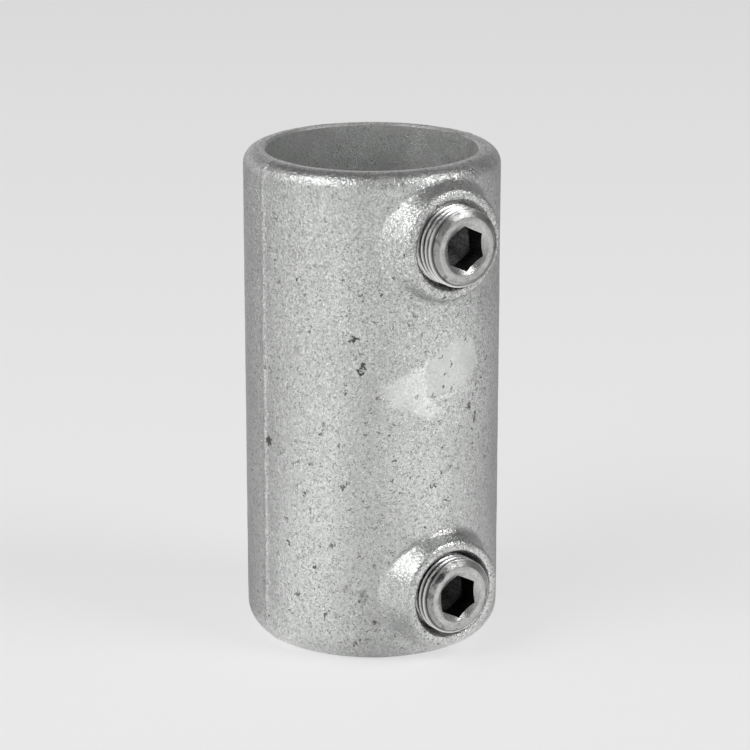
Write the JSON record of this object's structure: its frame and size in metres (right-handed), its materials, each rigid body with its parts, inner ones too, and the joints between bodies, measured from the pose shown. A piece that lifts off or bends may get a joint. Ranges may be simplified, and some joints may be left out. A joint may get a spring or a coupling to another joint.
{
  "type": "straight tube connector",
  "caption": "Straight cast sleeve that joins two round tubes end to end, with a hex-socket set screw through a round boss near each end.",
  "frame": {"origin": "on the axis of the bore, at half the sleeve's length", "axes": "+Z along the bore towards the upper end, and both set screws face -Y"},
  "size_m": [0.0526, 0.0592, 0.1012],
  "materials": {
    "galvanised_casting": "hot-dip galvanised malleable iron: dull silver-grey zinc with a fine grain, small dark pits and brighter worn patches",
    "turned_steel": "bright turned steel with a fine circular grain, dark inside the key socket"
  },
  "bodies": {
    "root": {"sleeve": "galvanised_casting", "upper_set_screw": "turned_steel", "lower_set_screw": "turned_steel"}
  },
  "joints": []
}
